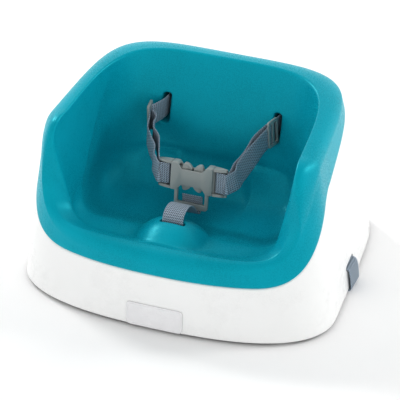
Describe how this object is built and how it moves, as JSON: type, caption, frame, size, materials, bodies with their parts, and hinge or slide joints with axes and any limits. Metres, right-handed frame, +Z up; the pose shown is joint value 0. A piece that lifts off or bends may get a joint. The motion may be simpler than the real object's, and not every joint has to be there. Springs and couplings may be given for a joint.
{
  "type": "toddler booster seat",
  "caption": "Tapered plastic booster base with a lift-out moulded foam bucket seat, a buckled lap and crotch harness, and a buckled strap that ties it to a dining chair.",
  "frame": {"origin": "on the floor under the middle of the whole part's box", "axes": "+Z up; the seat's front faces -Y; +X is to the right of someone who faces the front"},
  "size_m": [0.3752, 0.32, 0.225],
  "materials": {
    "white_plastic": "satin",
    "badge_plastic": "satin",
    "teal_foam": "satin",
    "grey_plastic": "matte",
    "grey_rubber": "matte",
    "grey_webbing": "matte"
  },
  "bodies": {
    "base": {"base_shell": "white_plastic", "front_badge": "badge_plastic", "foot_front_left": "grey_rubber", "foot_front_right": "grey_rubber", "foot_rear_left": "grey_rubber", "foot_rear_right": "grey_rubber", "chair_socket": "grey_plastic", "chair_anchor_left": "grey_plastic", "chair_anchor_right": "grey_plastic", "chair_strap_left": "grey_webbing", "chair_strap_right": "grey_webbing", "chair_slider": "grey_plastic"},
    "seat": {"seat_insert": "teal_foam", "waist_anchor_left": "grey_plastic", "waist_anchor_right": "grey_plastic", "crotch_anchor": "grey_plastic", "waist_webbing_left": "grey_webbing", "waist_webbing_right": "grey_webbing", "crotch_webbing": "grey_webbing", "tri_glide_left": "grey_plastic", "tri_glide_right": "grey_plastic", "buckle_body": "grey_plastic"},
    "clip_right": {"buckle_clip_right": "grey_plastic"},
    "clip_left": {"buckle_clip_left": "grey_plastic"},
    "arm_right_upper": {"squeeze_arm_right_upper": "grey_plastic"},
    "arm_right_lower": {"squeeze_arm_right_lower": "grey_plastic"},
    "arm_left_upper": {"squeeze_arm_left_upper": "grey_plastic"},
    "arm_left_lower": {"squeeze_arm_left_lower": "grey_plastic"},
    "chair_clip": {"chair_clip": "grey_plastic"},
    "chair_arm_rear": {"chair_arm_rear": "grey_plastic"},
    "chair_arm_front": {"chair_arm_front": "grey_plastic"}
  },
  "joints": [
    {"name": "seat_lift", "type": "slide", "parent": "base", "child": "seat", "axis": [0, 0, 1], "range_m": [0, 0.25]},
    {"name": "clip_right_pull", "type": "slide", "parent": "seat", "child": "clip_right", "axis": [1, 0, 0], "range_m": [0, 0.032], "deforming": ["waist_webbing_right"]},
    {"name": "clip_left_pull", "type": "slide", "parent": "seat", "child": "clip_left", "axis": [-1, 0, 0], "range_m": [0, 0.032], "deforming": ["waist_webbing_left"]},
    {"name": "squeeze_right_upper", "type": "hinge", "parent": "clip_right", "child": "arm_right_upper", "pos_m": [0.0225, -0.03133, 0.14045], "axis": [0, -0.9848, 0.1736], "range_deg": [0, 6], "stiffness_Nm_per_rad": 0.4},
    {"name": "squeeze_right_lower", "type": "hinge", "parent": "clip_right", "child": "arm_right_lower", "pos_m": [0.0225, -0.03467, 0.12155], "axis": [0, 0.9848, -0.1736], "range_deg": [0, 6], "stiffness_Nm_per_rad": 0.4},
    {"name": "squeeze_left_upper", "type": "hinge", "parent": "clip_left", "child": "arm_left_upper", "pos_m": [-0.0225, -0.03133, 0.14045], "axis": [0, 0.9848, -0.1736], "range_deg": [0, 6], "stiffness_Nm_per_rad": 0.4},
    {"name": "squeeze_left_lower", "type": "hinge", "parent": "clip_left", "child": "arm_left_lower", "pos_m": [-0.0225, -0.03467, 0.12155], "axis": [0, -0.9848, 0.1736], "range_deg": [0, 6], "stiffness_Nm_per_rad": 0.4},
    {"name": "chair_clip_pull", "type": "slide", "parent": "base", "child": "chair_clip", "axis": [1, 0, 0], "range_m": [0, 0.032], "deforming": ["chair_strap_right"]},
    {"name": "squeeze_chair_rear", "type": "hinge", "parent": "chair_clip", "child": "chair_arm_rear", "pos_m": [0.0225, 0.0146, 0.013], "axis": [0, 0, 1], "range_deg": [0, 6], "stiffness_Nm_per_rad": 0.4},
    {"name": "squeeze_chair_front", "type": "hinge", "parent": "chair_clip", "child": "chair_arm_front", "pos_m": [0.0225, -0.0046, 0.013], "axis": [0, 0, -1], "range_deg": [0, 6], "stiffness_Nm_per_rad": 0.4}
  ],
  "couplings": [
    {"joint": "squeeze_right_lower", "follows": "squeeze_right_upper", "ratio": 1},
    {"joint": "squeeze_left_lower", "follows": "squeeze_left_upper", "ratio": 1},
    {"joint": "squeeze_chair_front", "follows": "squeeze_chair_rear", "ratio": 1}
  ]
}
